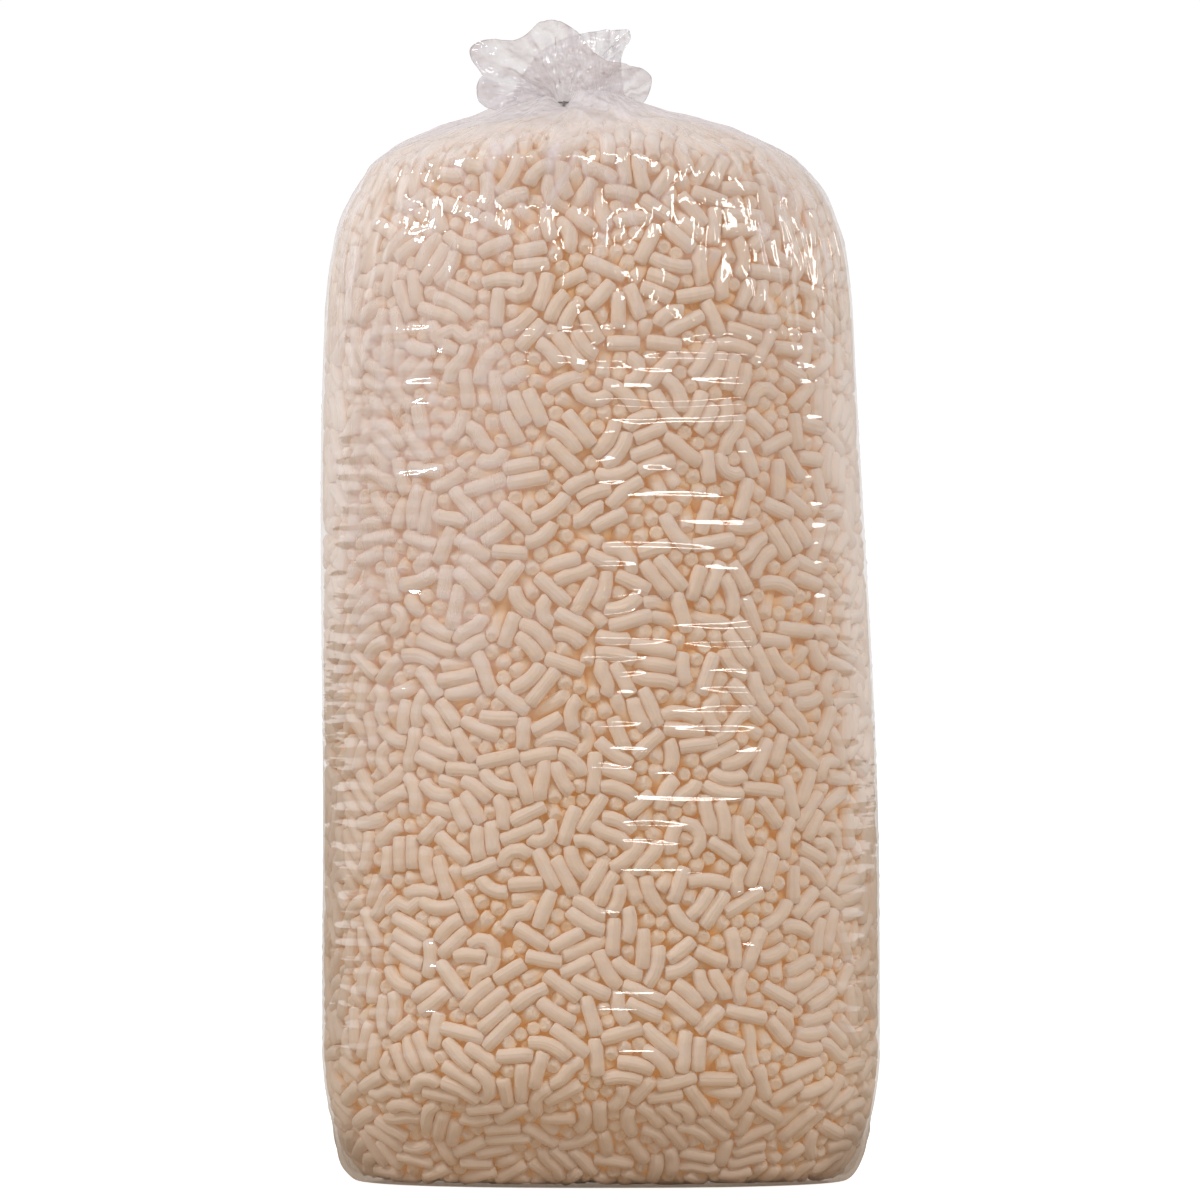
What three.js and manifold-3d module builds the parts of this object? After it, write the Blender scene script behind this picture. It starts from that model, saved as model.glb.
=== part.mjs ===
// A tall clear film bag of starch packing peanuts, filled, gathered at the neck and closed with a wire tie.
// Millimetres, +Z up, origin on the floor under the middle of the bag. X runs along the bag's flat width,
// -Y is its front. The film is one blown tube with a sealed bottom: it stands on a flat foot, its two
// bottom corners stick out as small ears, it rounds in over the shoulders to a gathered neck, and what is
// left above the tie flares into a loose topknot. The load is thousands of loose peanuts. The ones lying
// on top under the shoulders are single pieces here, and all those below them are joined in one solid.

import * as THREE from "three";
import Module from "manifold-3d";
import { mergeVertices } from "three/addons/utils/BufferGeometryUtils.js";

// ---- Driving sizes ------------------------------------------------------------------------------------
const BAG_WIDTH = 556; // across X at the belly
const BAG_DEPTH = 432; // across Y at the belly
const NECK_Z = 1077; // height of the tie
const FILM = 0.5; // wall, ten times the real gauge so that a faceted wall stays closed
const GAP = 0.3; // clearance between pieces that touch
const PEANUT_RADIUS = 8;
const PEANUT_LENGTH = 39;

// ---- Side profile of the film, as half width against height --------------------------------------------
const BELLY_R = BAG_WIDTH / 2;
const BELLY_Z = 127;
const FOOT_R = 230; // the flat foot's half width
const SHOULDER_R = 264; // where the straight side ends
const SHOULDER_Z = 850;
const DOME_R = 211; // where the rounded shoulder becomes the dome
const DOME_Z = 1017;
const NECK_R = 11; // the gathered bundle at the tie
const NECK_HALF = 4; // half the straight stretch that the tie grips
const FLARE_R = 64; // mean radius of the topknot's rim
const FLARE_Z = NECK_Z + 56; // mean height of the topknot's rim

// ---- Plan shape ----------------------------------------------------------------------------------------
const SQUARENESS = 2.4; // superellipse exponent of the body's plan, 2 is an ellipse
const DEPTH_SHARE = BAG_DEPTH / BAG_WIDTH;
const FOOT_DEPTH_SHARE = 0.52; // the sealed bottom is flatter still, front to back
const ROUND_FROM_Z = 960; // above this the plan turns into the neck's circle
const LEAN = -12; // the upper body's drift along X
const LEAN_FROM_Z = 300;
const NECK_SHIFT = -25; // and the neck's own, on top of that
const EAR_REACH = 10; // how far a bottom corner sticks out past the foot
const EAR_HEIGHT = 60;
const EAR_SHARPNESS = 40; // even, and higher for a narrower corner

// ---- Gathers -------------------------------------------------------------------------------------------
const PLEATS = 15; // folds that run up the dome into the neck
const PLEAT_DEPTH = 3.2;
const LOBES = [
  // the topknot's loose lobes: waves round the rim, as [count, share, phase]
  [3, 0.55, 0.4],
  [5, 0.45, 2.0],
];
const LOBE_SPREAD = 20; // how far the lobes reach out and in of the mean rim
const LOBE_RISE = 26; // and above and below it

const AROUND = 60; // facets round the bag

const smooth = (low, high, value) =>
  THREE.MathUtils.smoothstep(value, low, high);

// ---- The film's outline as a path of lines and Bezier curves, sampled with its own parameter ------------
const STRETCH_STEPS = { heel: 6, side: 5, shoulder: 6, dome: 7, flare: 7 };

function sampled(curve, steps) {
  return curve.getPoints(steps).slice(1);
}

function bezier(from, out, into, to) {
  return new THREE.CubicBezierCurve(
    new THREE.Vector2(...from),
    new THREE.Vector2(...out),
    new THREE.Vector2(...into),
    new THREE.Vector2(...to),
  );
}

const HEEL = bezier(
  [FOOT_R, 0],
  [FOOT_R + 23, 0],
  [BELLY_R - 2, 60],
  [BELLY_R, BELLY_Z],
);
const SIDE = bezier(
  [BELLY_R, BELLY_Z],
  [BELLY_R + 1, 400],
  [SHOULDER_R + 7, 700],
  [SHOULDER_R, SHOULDER_Z],
);
const SHOULDER = bezier(
  [SHOULDER_R, SHOULDER_Z],
  [SHOULDER_R - 4, 930],
  [DOME_R + 39, DOME_Z - 42],
  [DOME_R, DOME_Z],
);
const DOME = bezier(
  [DOME_R, DOME_Z],
  [DOME_R - 51, DOME_Z + 36],
  [DOME_R - 131, NECK_Z - 12],
  [NECK_R, NECK_Z - NECK_HALF],
);
const FLARE = bezier(
  [NECK_R, NECK_Z + NECK_HALF],
  [NECK_R + 6, NECK_Z + 14],
  [FLARE_R - 8, NECK_Z + 16],
  [FLARE_R, FLARE_Z],
);

const FOOT_AND_SIDE = [
  new THREE.Vector2(0, 0),
  new THREE.Vector2(FOOT_R, 0),
  ...sampled(HEEL, STRETCH_STEPS.heel),
  ...sampled(SIDE, STRETCH_STEPS.side),
];
const FILM_OUTSIDE = [
  ...FOOT_AND_SIDE,
  ...sampled(SHOULDER, STRETCH_STEPS.shoulder),
  ...sampled(DOME, STRETCH_STEPS.dome),
  new THREE.Vector2(NECK_R, NECK_Z + NECK_HALF),
  ...sampled(FLARE, STRETCH_STEPS.flare),
];

// The same outline moved inwards by a distance, square to itself. The ends stay on the axis or the rim.
function inset(outline, distance) {
  return outline.map((point, i) => {
    const before = outline[Math.max(i - 1, 0)];
    const after = outline[Math.min(i + 1, outline.length - 1)];
    const along = after.clone().sub(before).normalize();
    const moved = new THREE.Vector2(
      point.x - along.y * distance,
      point.y + along.x * distance,
    );
    if (point.x === 0) moved.x = 0;
    if (point.y === 0) moved.y = distance;
    return moved;
  });
}

// ---- The plan: where a profile point lies at an angle round the bag -------------------------------------
function lobeWave(angle) {
  return LOBES.reduce(
    (sum, [count, share, phase]) =>
      sum + share * Math.cos(count * angle + phase),
    0,
  );
}

function centreX(z) {
  const lean = LEAN * smooth(LEAN_FROM_Z, SHOULDER_Z, z);
  return lean + NECK_SHIFT * smooth(DOME_Z - 40, NECK_Z, z);
}

// height is that of the film outside at the same station, so the two faces of the wall fold as one.
function placed(radius, z, angle, height) {
  const round = smooth(ROUND_FROM_Z, NECK_Z - 8, height);
  const bottom = 1 - smooth(0, BELLY_Z, height);
  const low = THREE.MathUtils.lerp(DEPTH_SHARE, FOOT_DEPTH_SHARE, bottom);
  const depth = THREE.MathUtils.lerp(low, 1, round);
  const power = THREE.MathUtils.lerp(SQUARENESS, 2, round);
  const across = Math.abs(Math.cos(angle)) ** power;
  const through = Math.abs(Math.sin(angle) / depth) ** power;
  const reach = radius / (across + through) ** (1 / power);
  return new THREE.Vector3(
    centreX(height) + reach * Math.cos(angle),
    reach * Math.sin(angle),
    z,
  );
}

// The film's own shape: bottom corners, pleats up the dome, and lobes above the tie.
function fold(point, radius, angle, height) {
  if (height < EAR_HEIGHT) {
    const corner = Math.cos(angle) ** EAR_SHARPNESS * smooth(FOOT_R - 2, FOOT_R - 1, radius);
    const reach = EAR_REACH * (1 - height / EAR_HEIGHT) * corner;
    point.x += reach * Math.sign(Math.cos(angle));
  } else if (height < NECK_Z) {
    const drawn =
      smooth(DOME_Z - 30, NECK_Z - 20, height) * smooth(NECK_R, 60, radius);
    point.z += PLEAT_DEPTH * drawn * Math.cos(PLEATS * angle);
  } else {
    const loose = smooth(NECK_Z + NECK_HALF, FLARE_Z, height);
    const reach = LOBE_SPREAD * loose * lobeWave(angle);
    point.x += reach * Math.cos(angle);
    point.y += reach * Math.sin(angle);
    point.z -= LOBE_RISE * loose * lobeWave(angle + 0.5);
  }
  return point;
}

// A lathe of the outline whose rings are then set to the bag's plan, and folded if they are film.
function spun(outline, heights, folded) {
  const geometry = new THREE.LatheGeometry(outline, AROUND);
  const position = geometry.attributes.position;
  for (let i = 0; i < position.count; i++) {
    const station = i % outline.length;
    const turn = Math.floor(i / outline.length) % AROUND;
    const angle = (turn / AROUND) * Math.PI * 2 - Math.PI / 2;
    const { x: radius, y: z } = outline[station];
    const height = heights[station];
    const point = placed(radius, z, angle, height);
    if (folded) fold(point, radius, angle, height);
    position.setXYZ(i, point.x, point.y, point.z);
  }
  return geometry;
}

// ---- Film bag --------------------------------------------------------------------------------------------
// One wall, from the middle of the foot up to the rim of the mouth and back down inside.
function filmBag() {
  const inside = inset(FILM_OUTSIDE, FILM).reverse();
  const heights = FILM_OUTSIDE.map((point) => point.y);
  const stations = [...FILM_OUTSIDE, ...inside];
  const wall = spun(stations, [...heights, ...heights.slice().reverse()], true);
  const corners = [];
  for (let turn = 0; turn < AROUND; turn++) {
    for (let station = 0; station < stations.length - 1; station++) {
      const a = turn * stations.length + station;
      const [b, c, d] = [a + stations.length, a + stations.length + 1, a + 1];
      // Both faces of the wall are cut along the same diagonal, so they can't cross.
      if (station < FILM_OUTSIDE.length) corners.push(a, b, d, c, d, b);
      else corners.push(a, b, c, c, d, a);
    }
  }
  return wall.setIndex(corners);
}

// ---- Peanut load -----------------------------------------------------------------------------------------
// It fills the film up the sides, and domes over below the single peanuts on top.
const CROWN_R = DOME_R - 17; // where the load's shoulder becomes its dome
const CROWN_Z = DOME_Z - 30;
const CROWN_TOP_Z = NECK_Z - 49; // leaves one layer of peanuts its room under the film
const LOAD_SHOULDER = bezier(
  [SHOULDER_R, SHOULDER_Z],
  [SHOULDER_R - 9, 905],
  [CROWN_R + 39, CROWN_Z - 35],
  [CROWN_R, CROWN_Z],
);
const LOAD_DOME = bezier(
  [CROWN_R, CROWN_Z],
  [CROWN_R - 44, CROWN_Z + 26],
  [60, CROWN_TOP_Z],
  [0, CROWN_TOP_Z],
);
const LOAD_OUTSIDE = [
  ...FOOT_AND_SIDE,
  ...sampled(LOAD_SHOULDER, STRETCH_STEPS.shoulder),
  ...sampled(LOAD_DOME, STRETCH_STEPS.dome),
];

function peanutLoad() {
  const heights = LOAD_OUTSIDE.map((point) => point.y);
  return spun(inset(LOAD_OUTSIDE, FILM + GAP), heights, false);
}

// ---- Single peanuts ----------------------------------------------------------------------------------------
// A short extruded stick of starch foam with soft-edged cut ends, most of them a little bent.
const PEANUT_SIDES = 8;
const END_SOFTNESS = 3;

function peanut(length, bend) {
  const half = length / 2;
  const stations = [-half + END_SOFTNESS, -half / 3, half / 3, half - END_SOFTNESS];
  const outline = [
    new THREE.Vector2(0, -half),
    new THREE.Vector2(PEANUT_RADIUS - END_SOFTNESS, -half),
    ...stations.map((y) => new THREE.Vector2(PEANUT_RADIUS, y)),
    new THREE.Vector2(PEANUT_RADIUS - END_SOFTNESS, half),
    new THREE.Vector2(0, half),
  ];
  const geometry = new THREE.LatheGeometry(outline, PEANUT_SIDES);
  const position = geometry.attributes.position;
  for (let i = 0; i < position.count; i++) {
    const along = position.getY(i);
    const turned = bend * along;
    const off = position.getX(i);
    const sweep = bend ? (1 - Math.cos(turned)) / bend : 0;
    const reach = bend ? Math.sin(turned) / bend : along;
    position.setX(i, sweep + off * Math.cos(turned));
    position.setY(i, reach - off * Math.sin(turned));
  }
  return geometry;
}

// Rings of them lie on the load's dome: how far out, and how many.
const CROWN_RINGS = [
  [26, 3],
  [66, 8],
  [106, 13],
  [146, 19],
];
const YAW_SPREAD = 0.5; // radians either side of lying along the ring
const BEND_SPREAD = 0.012; // most curvature, in radians a millimetre

// Repeatable scatter between -1 and 1.
function scatter(n) {
  const wave = Math.sin(n * 127.1 + 11.7) * 43758.5453;
  return (wave - Math.floor(wave)) * 2 - 1;
}

// The point on the load's dome at a radius and an angle, found by halving along the dome's curve.
function loadTop(radius, angle) {
  let low = 0;
  let high = 1;
  for (let i = 0; i < 30; i++) {
    const middle = (low + high) / 2;
    if (LOAD_DOME.getPoint(middle).x > radius) low = middle;
    else high = middle;
  }
  const height = LOAD_DOME.getPoint(low).y;
  return placed(radius, height, angle, height);
}

function crownPeanuts() {
  const meshes = [];
  for (const [radius, count] of CROWN_RINGS) {
    for (let i = 0; i < count; i++) {
      const number = meshes.length + 1;
      const angle = ((i + 0.12 * scatter(number)) / count) * Math.PI * 2 + radius;
      const foot = loadTop(radius, angle);
      const outwards = loadTop(radius + 2, angle).sub(foot).normalize();
      const onwards = loadTop(radius, angle + 0.02).sub(foot).normalize();
      const normal = outwards.clone().cross(onwards).normalize();
      const yaw = YAW_SPREAD * scatter(number + 50);
      const along = onwards.clone().applyAxisAngle(normal, yaw);
      const side = along.clone().cross(normal);
      const length = PEANUT_LENGTH * (0.93 + 0.06 * scatter(number + 100));
      const bend = BEND_SPREAD * scatter(number + 150);
      const mesh = new THREE.Mesh(peanut(length, bend), FOAM);
      mesh.name = `peanut_${String(number).padStart(2, "0")}`;
      mesh.quaternion.setFromRotationMatrix(
        new THREE.Matrix4().makeBasis(side, along, normal.clone()),
      );
      mesh.position
        .copy(foot)
        .addScaledVector(normal, PEANUT_RADIUS + GAP - FILM);
      meshes.push(mesh);
    }
  }
  return meshes;
}

// ---- Wire tie ------------------------------------------------------------------------------------------------
// One length of thin coated wire, once round the gathered neck, its two ends twisted together in front.
const WIRE_R = 0.9;
const TIE_R = NECK_R + GAP + WIRE_R + 0.4; // centreline of the loop
const TAIL_LENGTH = 15;
const TAIL_TURNS = 2.5;
const WIRE_SIDES = 6;

function wireSection() {
  const section = new THREE.Shape();
  section.absarc(0, 0, WIRE_R, 0, Math.PI * 2);
  return section;
}

function wire(points, steps) {
  return new THREE.ExtrudeGeometry(wireSection(), {
    steps,
    curveSegments: WIRE_SIDES,
    extrudePath: new THREE.CatmullRomCurve3(points),
    bevelEnabled: false,
  });
}

function tailStrand(phase) {
  const points = [];
  for (let i = 0; i <= 20; i++) {
    const share = i / 20;
    const turn = phase + share * TAIL_TURNS * Math.PI * 2;
    points.push(
      new THREE.Vector3(
        WIRE_R * 0.8 * Math.cos(turn),
        -TIE_R - share * TAIL_LENGTH,
        -4 * share * share + WIRE_R * 0.8 * Math.sin(turn),
      ),
    );
  }
  return wire(points, 30);
}

async function wireTie() {
  const wasm = await Module();
  wasm.setup();
  const solid = (geometry) => {
    const bare = geometry.clone();
    bare.deleteAttribute("normal");
    bare.deleteAttribute("uv");
    const merged = mergeVertices(bare, 1e-4);
    return new wasm.Manifold(
      new wasm.Mesh({
        numProp: 3,
        vertProperties: merged.attributes.position.array,
        triVerts: new Uint32Array(merged.index.array),
      }),
    );
  };
  const loop = new THREE.TorusGeometry(TIE_R, WIRE_R, WIRE_SIDES, 32);
  const joined = [0, Math.PI]
    .map((phase) => solid(tailStrand(phase)))
    .reduce((sum, strand) => sum.add(strand), solid(loop));
  const mesh = joined.getMesh();
  return new THREE.BufferGeometry()
    .setAttribute(
      "position",
      new THREE.BufferAttribute(mesh.vertProperties, mesh.numProp),
    )
    .setIndex(new THREE.BufferAttribute(mesh.triVerts, 1));
}

// ---- Materials -----------------------------------------------------------------------------------------------
const CLEAR_FILM = new THREE.MeshStandardMaterial({
  color: 0xeae6e6,
  roughness: 0.15,
  metalness: 0,
  transparent: true,
  opacity: 0.25,
});
const FOAM = new THREE.MeshStandardMaterial({
  color: 0xf0d8c0,
  roughness: 0.85,
  metalness: 0,
});
const COATED_WIRE = new THREE.MeshStandardMaterial({
  color: 0x8a8683,
  roughness: 0.5,
  metalness: 0,
});

// ---- Assembly --------------------------------------------------------------------------------------------------
function named(name, geometry, material) {
  const mesh = new THREE.Mesh(geometry, material);
  mesh.name = name;
  return mesh;
}

const bag = new THREE.Group();
bag.add(named("film_bag", filmBag(), CLEAR_FILM));
bag.add(named("peanut_load", peanutLoad(), FOAM));

const crown = new THREE.Group();
crown.add(...crownPeanuts());
bag.add(crown);

const tie = named("wire_tie", await wireTie(), COATED_WIRE);
tie.position.set(centreX(NECK_Z), 0, NECK_Z);
bag.add(tie);

export default bag;
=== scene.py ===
# A tall clear bag of loose foam packing peanuts, tied at the neck, standing on its sealed bottom.
import math

import bpy
import numpy as np
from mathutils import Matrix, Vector
from mathutils.bvhtree import BVHTree


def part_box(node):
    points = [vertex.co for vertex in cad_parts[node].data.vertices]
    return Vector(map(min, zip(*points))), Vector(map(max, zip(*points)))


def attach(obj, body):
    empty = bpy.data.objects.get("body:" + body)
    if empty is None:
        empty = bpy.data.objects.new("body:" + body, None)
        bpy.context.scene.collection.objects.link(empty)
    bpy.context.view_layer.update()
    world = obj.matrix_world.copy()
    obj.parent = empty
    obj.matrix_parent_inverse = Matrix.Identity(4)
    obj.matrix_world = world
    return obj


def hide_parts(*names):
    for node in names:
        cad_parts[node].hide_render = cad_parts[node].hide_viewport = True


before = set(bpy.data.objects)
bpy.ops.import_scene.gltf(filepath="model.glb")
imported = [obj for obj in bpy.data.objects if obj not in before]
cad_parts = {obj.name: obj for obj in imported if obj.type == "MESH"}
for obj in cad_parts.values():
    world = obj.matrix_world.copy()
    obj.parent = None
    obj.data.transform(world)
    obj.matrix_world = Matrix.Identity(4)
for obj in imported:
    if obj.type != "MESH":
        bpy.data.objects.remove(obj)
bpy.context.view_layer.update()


# ---- Film bag: its smooth shape --------------------------------------------------------------------
# One blown polythene tube, sealed flat across the bottom, filled, and gathered by hand at the top.
# This is how far it reaches at each height and angle. Its folds, and its mesh, come after the load.

bag_low, bag_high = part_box("film_bag")
_, tie_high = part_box("wire_tie")
belly_r, belly_z = float(bag_high.x), 0.127
neck_r, neck_z = 0.011, float(tie_high.z) - 0.0014
foot_r = belly_r - 0.048
shoulder_r, shoulder_z = belly_r - 0.014, 0.850
dome_r, dome_z = belly_r - 0.067, neck_z - 0.060
foot_depth, belly_depth = 0.52, 0.777  # front to back, as a share of side to side


def bezier(start, out, into, end, steps):
    """Points along a cubic curve, without its first."""
    t = np.linspace(0, 1, steps + 1)[1:, None]
    start, out, into, end = map(np.array, (start, out, into, end))
    early = (1 - t) ** 3 * start + 3 * (1 - t) ** 2 * t * out
    return early + 3 * (1 - t) * t**2 * into + t**3 * end


def ease(low, high, value):
    """0 up to low, 1 from high on, and a smooth rise between. It falls if high is below low."""
    t = np.clip((value - low) / (high - low), 0, 1)
    return t * t * (3 - 2 * t)


def mix(a, b, share):
    """A share of the way from a to b."""
    return a + (b - a) * share


def bag_outline(foot_steps, heel_steps, side_steps, shoulder_steps, dome_steps):
    """Half width against height, from the middle of the foot to the neck."""
    foot = np.linspace((0.0, 0.0), (foot_r, 0.0), foot_steps)
    heel = bezier((foot_r, 0), (foot_r + 0.023, 0), (belly_r - 0.002, 0.06),
                  (belly_r, belly_z), heel_steps)
    side = bezier((belly_r, belly_z), (belly_r + 0.001, 0.4), (shoulder_r + 0.007, 0.7),
                  (shoulder_r, shoulder_z), side_steps)
    shoulder = bezier((shoulder_r, shoulder_z), (shoulder_r - 0.004, 0.93),
                      (dome_r + 0.039, dome_z - 0.042), (dome_r, dome_z), shoulder_steps)
    dome = bezier((dome_r, dome_z), (dome_r - 0.051, dome_z + 0.036),
                  (dome_r - 0.131, neck_z - 0.012), (neck_r, neck_z - 0.004), dome_steps)
    return np.vstack([foot, heel, side, shoulder, dome])


def lean(height):
    """How far the bag leans to the left at a height, and its neck a little more."""
    return -0.012 * ease(0.3, shoulder_z, height) - 0.025 * ease(dome_z - 0.04, neck_z, height)


def bag_points(outline, angles):
    """The smooth bag as rows of points, one row for each point of the outline."""
    radius, height = outline[:, :1], outline[:, 1:]
    rounding = ease(0.960, neck_z - 0.008, height)
    depth = mix(mix(foot_depth, belly_depth, ease(0, belly_z, height)), 1, rounding)
    power = mix(2.4, 2, rounding)
    across = np.abs(np.cos(angles))[None] ** power
    through = np.abs(np.sin(angles)[None] / depth) ** power
    reach = radius / (across + through) ** (1 / power)
    fuller_right = 0.006 * ease(dome_z - 0.07, dome_z + 0.02, height) * ease(neck_r, 0.05, radius)
    return np.stack([lean(height) + reach * np.cos(angles), reach * np.sin(angles),
                     height + fuller_right * np.cos(angles)], axis=-1)


def grid_faces(rows, columns, first=0):
    """Quads over rows of points, each row closed on itself."""
    r, c = np.meshgrid(np.arange(rows - 1), np.arange(columns), indexing="ij")
    a = first + r * columns + c
    b = first + r * columns + (c + 1) % columns
    return np.stack([a, b, b + columns, a + columns], axis=-1).reshape(-1, 4)


def round_angles(columns):
    """Even steps all the way round the bag, from the middle of its front."""
    return np.arange(columns) / columns * 2 * np.pi - np.pi / 2


# ---- Peanuts --------------------------------------------------------------------------------------
# Extruded sticks of expanded starch, cut to length while hot, so most are a little bent. They are
# poured in loose. Those against the film, and those behind them that show in the gaps, are settled
# here as stiff rows of beads that push each other apart, and the film holds them in.

peanut_r = 0.008
beads = 4
shell_depth = 0.037
peanut_count = 6850
at_film_depth = 0.013
cut_r, soft_r = 0.0050, 0.0076  # a cut end's flat face, and where its edge is rounded off
cream = (0.92, 0.713, 0.562, 1)
pale_cream = (0.95, 0.778, 0.652, 1)
# Painted shade: the warm amber the foam turns to deeper under the film, for light scattered through it
# into the gaps.
painted_amber_shade = (0.88, 0.61, 0.34, 1)
# Painted glow: a faint light the foam gives off deeper in, for light seeping through it.
painted_inner_glow = (0.100, 0.064, 0.021, 1)
rng = np.random.default_rng(7)


class Inside:
    """How deep a point lies under the film, and which way is in, from a grid of measured depths."""

    def __init__(self, cell=0.012, columns=72):
        outline = bag_outline(5, 8, 14, 10, 14)
        points = bag_points(outline, round_angles(columns)).reshape(-1, 3)
        faces = grid_faces(len(outline), columns)
        tree = BVHTree.FromPolygons(points.tolist(), faces.tolist())
        self.cell = cell
        self.low = points.min(axis=0) - 2 * cell
        self.count = np.ceil((points.max(axis=0) + 2 * cell - self.low) / cell).astype(int)
        self.depth = np.zeros(self.count)
        for place in np.ndindex(*self.count):
            point = self.low + cell * np.array(place)
            hit, normal, _, distance = tree.find_nearest(point.tolist())
            outside = (point[0] - hit.x) * normal.x + (point[1] - hit.y) * normal.y
            outside += (point[2] - hit.z) * normal.z
            self.depth[place] = -math.copysign(distance, outside)
        self.slope = np.stack(np.gradient(self.depth, cell), axis=-1)

    def at(self, points):
        """The depth of each point, and the way in from the film there."""
        place = (points - self.low) / self.cell
        whole = np.clip(np.floor(place).astype(int), 0, self.count - 2)
        part = np.clip(place - whole, 0, 1)
        depth, inward = 0, 0
        for corner in np.ndindex(2, 2, 2):
            weight = np.prod(np.where(corner, part, 1 - part), axis=1)
            i, j, k = (whole + corner).T
            depth = depth + weight * self.depth[i, j, k]
            inward = inward + weight[:, None] * self.slope[i, j, k]
        return depth, inward / np.maximum(np.linalg.norm(inward, axis=1, keepdims=True), 1e-9)


def close_pairs(points, owner, reach):
    """Every two beads of different peanuts nearer than reach, found cell by cell."""
    cell = np.floor((points - points.min(axis=0)) / reach).astype(np.int64) + 1
    size = cell.max(axis=0) + 2
    key = (cell[:, 0] * size[1] + cell[:, 1]) * size[2] + cell[:, 2]
    order = np.argsort(key, kind="stable")
    ordered = key[order]
    first, second = [], []
    for step in np.ndindex(3, 3, 3):
        move = np.array(step) - 1
        if tuple(move) < (0, 0, 0):
            continue
        other = key + (move[0] * size[1] + move[1]) * size[2] + move[2]
        start = np.searchsorted(ordered, other, "left")
        count = np.searchsorted(ordered, other, "right") - start
        i = np.repeat(np.arange(len(points)), count)
        j = order[np.arange(count.sum()) + np.repeat(start - np.cumsum(count) + count, count)]
        keep = owner[i] != owner[j]
        if not move.any():
            keep &= i < j
        i, j = i[keep], j[keep]
        near = ((points[i] - points[j]) ** 2).sum(axis=1) < reach**2
        first.append(i[near])
        second.append(j[near])
    return np.concatenate(first), np.concatenate(second)


def rest_shapes(number):
    """Peanuts of every bend and length, as beads round their own centre."""
    gap = rng.uniform(0.0070, 0.0100, number)
    kind = rng.choice([0, 1, 2], number, p=[0.5, 0.41, 0.09])
    bend = np.choose(kind, [rng.uniform(0, 0.05, number), rng.uniform(0.08, 0.28, number),
                            rng.uniform(0.3, 0.7, number)])
    snake = rng.random(number) < 0.2
    turns = np.stack([-bend, np.zeros(number), np.where(snake, -bend, bend)], axis=1)
    steps = gap[:, None, None] * np.stack([np.cos(turns), np.sin(turns), 0 * turns], axis=-1)
    shape = np.concatenate([np.zeros((number, 1, 3)), np.cumsum(steps, axis=1)], axis=1)
    return shape - shape.mean(axis=1, keepdims=True)


def turned(shape, along, flat):
    """Each shape laid along one direction, with its bend lying across another."""
    side = np.cross(flat, along)
    side /= np.linalg.norm(side, axis=1, keepdims=True)
    return shape[:, :, :1] * along[:, None] + shape[:, :, 1:2] * side[:, None]


def scattered(inside, number):
    """Places at random for the middles of so many peanuts, in the shell under the film."""
    centres = np.empty((0, 3))
    while len(centres) < number:
        tries = rng.uniform(bag_low, bag_high, (4 * number, 3))
        depth, _ = inside.at(tries)
        centres = np.vstack([centres, tries[(depth > peanut_r) & (depth < shell_depth)]])
    return centres[:number]


def laid_out(inside, centres, shape):
    """Each peanut's beads round its middle. Most peanuts lie along the film, and some point inwards."""
    _, inward = inside.at(centres)
    loose = rng.normal(size=centres.shape)
    points_in = rng.random(len(centres)) < 0.16
    flat = loose - 0.95 * (loose * inward).sum(axis=1, keepdims=True) * inward
    along = np.where(points_in[:, None], inward + 0.2 * loose, flat)
    along /= np.linalg.norm(along, axis=1, keepdims=True)
    return (centres[:, None] + turned(shape, along, inward + 0.1 * loose)).reshape(-1, 3)


def pushed_apart(at, i, j, wide):
    """All beads, with each pair of i and j moved apart where it lies nearer than wide."""
    apart = at[i] - at[j]
    distance = np.sqrt((apart**2).sum(axis=1)) + 1e-9
    touch = distance < wide
    i, j, gap = i[touch], j[touch], distance[touch]
    push = ((wide - gap) * 0.5 / gap)[:, None] * apart[touch]
    hits = np.bincount(i, minlength=len(at)) + np.bincount(j, minlength=len(at))
    for axis in range(3):
        move = np.bincount(i, push[:, axis], len(at)) - np.bincount(j, push[:, axis], len(at))
        at[:, axis] += move / np.maximum(1, hits * 0.45)
    return at


def stiffened(at, shape):
    """All beads, with each peanut's own row brought back to its shape, turned and moved whole."""
    body = at.reshape(shape.shape)
    centre = body.mean(axis=1, keepdims=True)
    u, _, vt = np.linalg.svd(np.einsum("nbi,nbj->nij", body - centre, shape))
    u[:, :, 2] *= np.sign(np.linalg.det(u @ vt))[:, None]
    return (centre + np.einsum("nij,nbj->nbi", u @ vt, shape)).reshape(-1, 3)


def settle(inside, number, rounds=240):
    """Peanuts scattered in the shell, then eased apart. Neighbours still overlap, by 1 mm or so."""
    centres = scattered(inside, number)
    shape = rest_shapes(number)
    at = laid_out(inside, centres, shape)
    owner = np.repeat(np.arange(number), beads)
    film_gap, drift_out, pull_back = 0.0008, 0.00014, 0.3
    for turn in range(rounds):
        if turn % 8 == 0:
            i, j = close_pairs(at, owner, 2 * peanut_r + 0.004)
        grown = min(1, 0.5 + 1.2 * turn / rounds)
        at = pushed_apart(at, i, j, 2 * peanut_r * grown)
        depth, inward = inside.at(at)
        move = np.maximum(peanut_r + film_gap - depth, 0)
        move -= pull_back * np.maximum(depth - shell_depth, 0)
        if turn < rounds * 0.8:
            move -= drift_out
        at = stiffened(at + move[:, None] * inward, shape)
    return kept_inside(inside, at.reshape(number, beads, 3))


def kept_inside(inside, settled):
    """Moves in, whole, each peanut that still presses through the film."""
    film_gap = 0.0004
    for _ in range(3):
        lines = lines_through(settled, (-0.6, 0.5, 1.5, 2.5, 3.6))
        depth, inward = inside.at(lines.reshape(-1, 3))
        depth, inward = depth.reshape(lines.shape[:2]), inward.reshape(lines.shape)
        worst = depth.argmin(axis=1)[:, None]
        short = np.maximum(peanut_r + film_gap - np.take_along_axis(depth, worst, axis=1), 0)
        settled = settled + short[..., None] * np.take_along_axis(inward, worst[..., None], axis=1)
    return settled


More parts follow.
